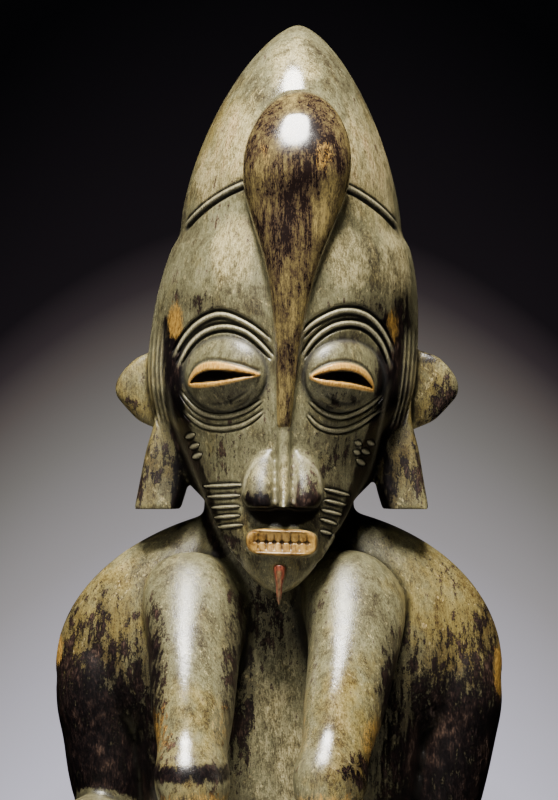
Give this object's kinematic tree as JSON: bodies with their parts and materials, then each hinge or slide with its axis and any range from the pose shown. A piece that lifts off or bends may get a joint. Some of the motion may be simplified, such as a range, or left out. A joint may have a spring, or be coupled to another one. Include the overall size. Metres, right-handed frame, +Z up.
{
  "type": "carved seated figure",
  "caption": "Carved wooden figure of a seated woman with a pointed hood of hair, on a stool and a low base, made in one block.",
  "frame": {"origin": "on the underside of the base, straight below the middle of the neck", "axes": "+Z up; the figure faces -Y; +X is its left hand side"},
  "size_m": [0.1689, 0.2, 0.6444],
  "materials": {
    "patinated_wood": "oiled and handled dark wood, greenish brown where it is worn and near black where it is not"
  },
  "bodies": {
    "root": {"seated_figure": "patinated_wood"}
  },
  "joints": []
}
